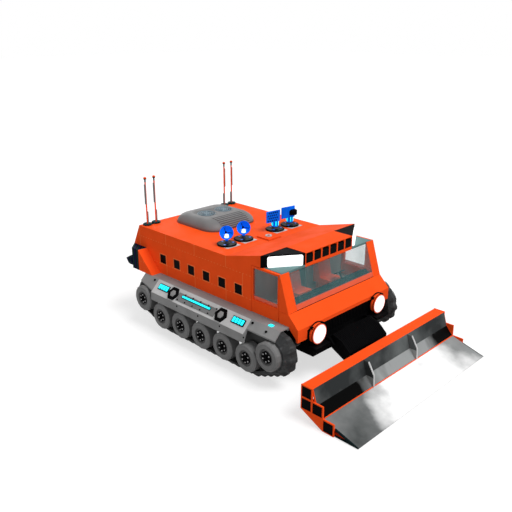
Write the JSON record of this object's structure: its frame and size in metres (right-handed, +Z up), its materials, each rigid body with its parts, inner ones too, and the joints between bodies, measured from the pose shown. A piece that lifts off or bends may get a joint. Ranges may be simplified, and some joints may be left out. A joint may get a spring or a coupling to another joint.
{
  "type": "snowcat groomer",
  "caption": "Tracked snow groomer with an orange boxy hull, glazed cab, roof lamps and a full-width front blade that lifts, angles and tilts.",
  "frame": {"origin": "centre of the footprint box, on the ground under the tracks", "axes": "+Z up, front of the vehicle towards -Y, the driver's left towards +X"},
  "size_m": [5.04, 8.3437, 3.7884],
  "materials": {
    "orange_paint": "satin",
    "black_steel": "satin",
    "grey_steel": "satin",
    "engine_iron": "matte",
    "guard_alloy": "satin",
    "track_rubber": "matte",
    "clear_glass": "gloss",
    "dark_glass": "gloss",
    "seat_cover": "matte",
    "cab_trim": "matte",
    "lamp_lens": "gloss",
    "blue_shell": "gloss",
    "rod_chrome": "polished"
  },
  "bodies": {
    "chassis": {"chassis_frame": "black_steel", "engine_block": "engine_iron", "floor": "grey_steel", "running_gear_left": "grey_steel", "running_gear_right": "grey_steel", "track_left": "track_rubber", "track_right": "track_rubber", "track_guard_left": "guard_alloy", "track_guard_right": "guard_alloy", "hull_side_left": "orange_paint", "hull_side_right": "orange_paint", "side_windows_left": "dark_glass", "side_windows_right": "dark_glass", "rear_panel": "orange_paint", "roof": "orange_paint", "bulkhead": "grey_steel", "cab_frame": "orange_paint", "windscreen": "clear_glass", "visor": "orange_paint", "visor_window": "dark_glass", "front_panel": "orange_paint", "radiator_grille": "black_steel", "front_bumper": "black_steel", "headlamp_left": "lamp_lens", "headlamp_right": "lamp_lens", "driver_seat": "seat_cover", "passenger_seat": "seat_cover", "dashboard": "cab_trim", "rear_locker_left": "black_steel", "rear_locker_right": "black_steel", "rear_hitch": "black_steel", "fan_housing": "grey_steel", "antennas_left": "orange_paint", "antennas_right": "orange_paint"},
    "door_left": {"door_left": "orange_paint", "door_glass_left": "clear_glass"},
    "door_right": {"door_right": "orange_paint", "door_glass_right": "clear_glass"},
    "fan_left": {"fan_left": "black_steel"},
    "fan_right": {"fan_right": "black_steel"},
    "roof_hatch": {"roof_hatch": "orange_paint"},
    "dish_lamp_outer": {"dish_lamp_outer": "blue_shell"},
    "dish_lamp_inner": {"dish_lamp_inner": "blue_shell"},
    "panel_lamp_inner": {"panel_lamp_inner": "blue_shell"},
    "panel_lamp_outer": {"panel_lamp_outer": "blue_shell"},
    "lift_frame": {"lift_frame": "black_steel"},
    "lift_barrel": {"lift_barrel": "black_steel"},
    "lift_rod": {"lift_rod": "rod_chrome"},
    "blade_head": {"blade_head": "grey_steel"},
    "blade": {"blade": "orange_paint"}
  },
  "joints": [
    {"name": "blade_lift", "type": "hinge", "parent": "chassis", "child": "lift_frame", "pos_m": [0, -2.086, 0.8176], "axis": [-1, 0, 0], "range_deg": [0, 20]},
    {"name": "lift_barrel_pivot", "type": "hinge", "parent": "chassis", "child": "lift_barrel", "pos_m": [0, -1.988, 0.6076], "axis": [-1, 0, 0], "range_deg": [-1, 17]},
    {"name": "lift_rod_slide", "type": "slide", "parent": "lift_barrel", "child": "lift_rod", "axis": [0, -0.9927, -0.1203], "range_m": [-0.002, 0.075]},
    {"name": "blade_angle", "type": "hinge", "parent": "lift_frame", "child": "blade_head", "pos_m": [0, -2.6768, 0.5096], "axis": [0, 0, 1], "range_deg": [-9, 9]},
    {"name": "blade_tilt", "type": "hinge", "parent": "blade_head", "child": "blade", "pos_m": [0, -2.772, 0.5096], "axis": [0, 1, 0], "range_deg": [-5, 5]},
    {"name": "door_left_hinge", "type": "hinge", "parent": "chassis", "child": "door_left", "pos_m": [1.68, -0.532, 1.6576], "axis": [0, 0, 1], "range_deg": [0, 75]},
    {"name": "door_right_hinge", "type": "hinge", "parent": "chassis", "child": "door_right", "pos_m": [-1.68, -0.532, 1.6576], "axis": [0, 0, -1], "range_deg": [0, 75]},
    {"name": "hatch_hinge", "type": "hinge", "parent": "chassis", "child": "roof_hatch", "pos_m": [0, 0.7616, 2.5032], "axis": [-1, 0, 0], "range_deg": [0, 80]},
    {"name": "fan_left_spin", "type": "hinge", "parent": "chassis", "child": "fan_left", "pos_m": [0.3024, 2.548, 2.6656], "axis": [0, 0, 1], "continuous": true},
    {"name": "fan_right_spin", "type": "hinge", "parent": "chassis", "child": "fan_right", "pos_m": [-0.3024, 2.548, 2.6656], "axis": [0, 0, 1], "continuous": true},
    {"name": "dish_lamp_outer_swivel", "type": "hinge", "parent": "chassis", "child": "dish_lamp_outer", "pos_m": [-1.12, 0.868, 2.4976], "axis": [0, 0, 1], "range_deg": [-45, 45]},
    {"name": "dish_lamp_inner_swivel", "type": "hinge", "parent": "chassis", "child": "dish_lamp_inner", "pos_m": [-0.56, 0.868, 2.4976], "axis": [0, 0, 1], "range_deg": [-45, 45]},
    {"name": "panel_lamp_inner_swivel", "type": "hinge", "parent": "chassis", "child": "panel_lamp_inner", "pos_m": [0.56, 0.868, 2.4976], "axis": [0, 0, 1], "range_deg": [-45, 45]},
    {"name": "panel_lamp_outer_swivel", "type": "hinge", "parent": "chassis", "child": "panel_lamp_outer", "pos_m": [1.12, 0.868, 2.4976], "axis": [0, 0, 1], "range_deg": [-45, 45]}
  ],
  "couplings": [
    {"joint": "lift_barrel_pivot", "follows": "blade_lift", "ratio": 0.7978},
    {"joint": "lift_rod_slide", "follows": "blade_lift", "m_per_rad": 0.20721}
  ]
}
